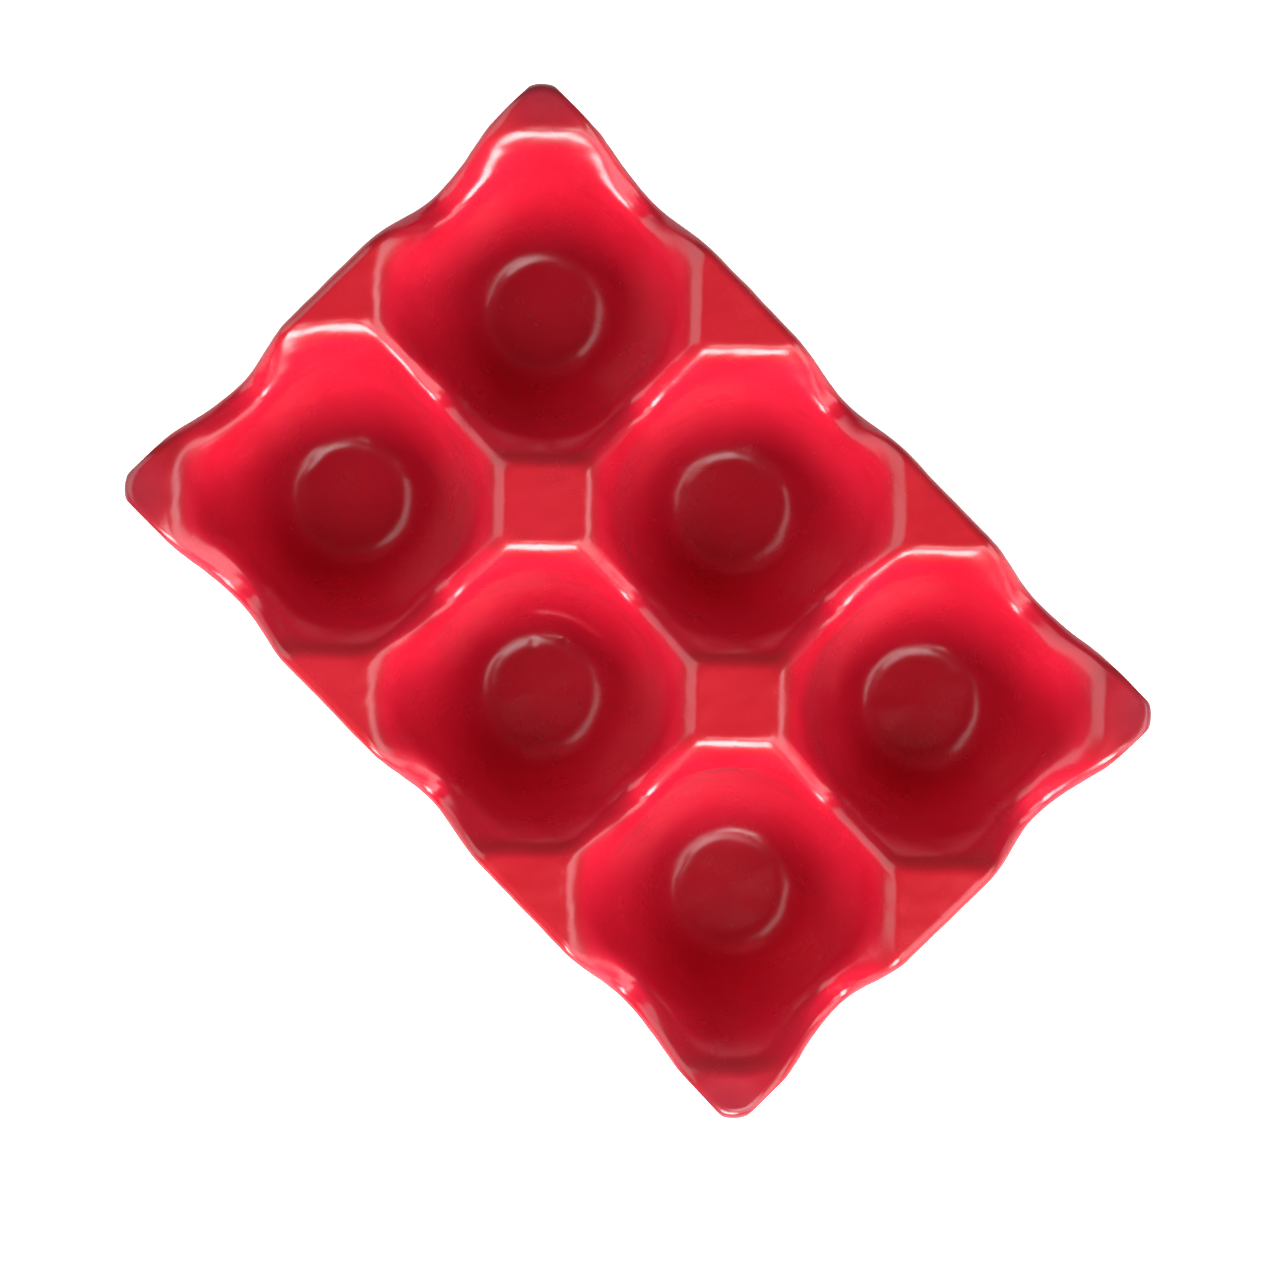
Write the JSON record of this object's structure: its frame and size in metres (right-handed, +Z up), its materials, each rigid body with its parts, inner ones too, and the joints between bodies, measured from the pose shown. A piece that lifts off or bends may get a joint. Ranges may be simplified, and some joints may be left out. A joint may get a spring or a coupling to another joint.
{
  "type": "egg tray",
  "caption": "Shallow glazed ceramic tray with rounded cups that hold eggs upright, joined by saddle-shaped ridges and flat-topped posts, with a wavy lip.",
  "frame": {"origin": "on the table plane, under the middle of the tray", "axes": "+X along the three-cup side, +Y along the two-cup side, +Z up out of the cups"},
  "size_m": [0.155, 0.1034, 0.038],
  "materials": {
    "bare_stoneware": "unglazed, matt, seen only at the feet",
    "red_glaze": "glossy red glaze"
  },
  "bodies": {
    "root": {"stoneware_body": "bare_stoneware", "glaze_coat": "red_glaze"}
  },
  "joints": []
}
